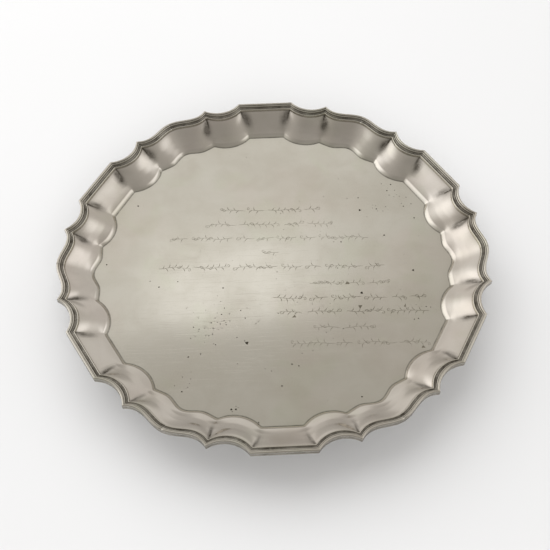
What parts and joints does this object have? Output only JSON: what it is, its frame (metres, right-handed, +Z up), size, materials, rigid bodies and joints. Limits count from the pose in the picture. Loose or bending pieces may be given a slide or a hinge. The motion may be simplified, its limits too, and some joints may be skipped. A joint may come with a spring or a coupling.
{
  "type": "silver salver",
  "caption": "Round footed silver salver with a shaped pie-crust border: a flat field inside a concave wall, a cast moulded rim and cast feet underneath.",
  "frame": {"origin": "on the surface that the salver stands on, below the centre of the tray", "axes": "+Z up through the centre of the tray, +Y towards the middle of a straight side of the border, over the rear foot"},
  "size_m": [0.3044, 0.3012, 0.0357],
  "materials": {
    "tray_silver": "worn satin silver with pits, fine scratches and light tarnish",
    "rim_silver": "polished cast silver, dark with tarnish in the hollows",
    "foot_silver": "cast silver with tarnish in the recesses"
  },
  "bodies": {
    "root": {"tray_plate": "tray_silver", "rim_moulding_1": "rim_silver", "rim_moulding_2": "rim_silver", "rim_moulding_3": "rim_silver", "rim_moulding_4": "rim_silver", "rim_moulding_5": "rim_silver", "rim_moulding_6": "rim_silver", "foot_rear": "foot_silver", "foot_right": "foot_silver", "foot_left": "foot_silver"}
  },
  "joints": []
}
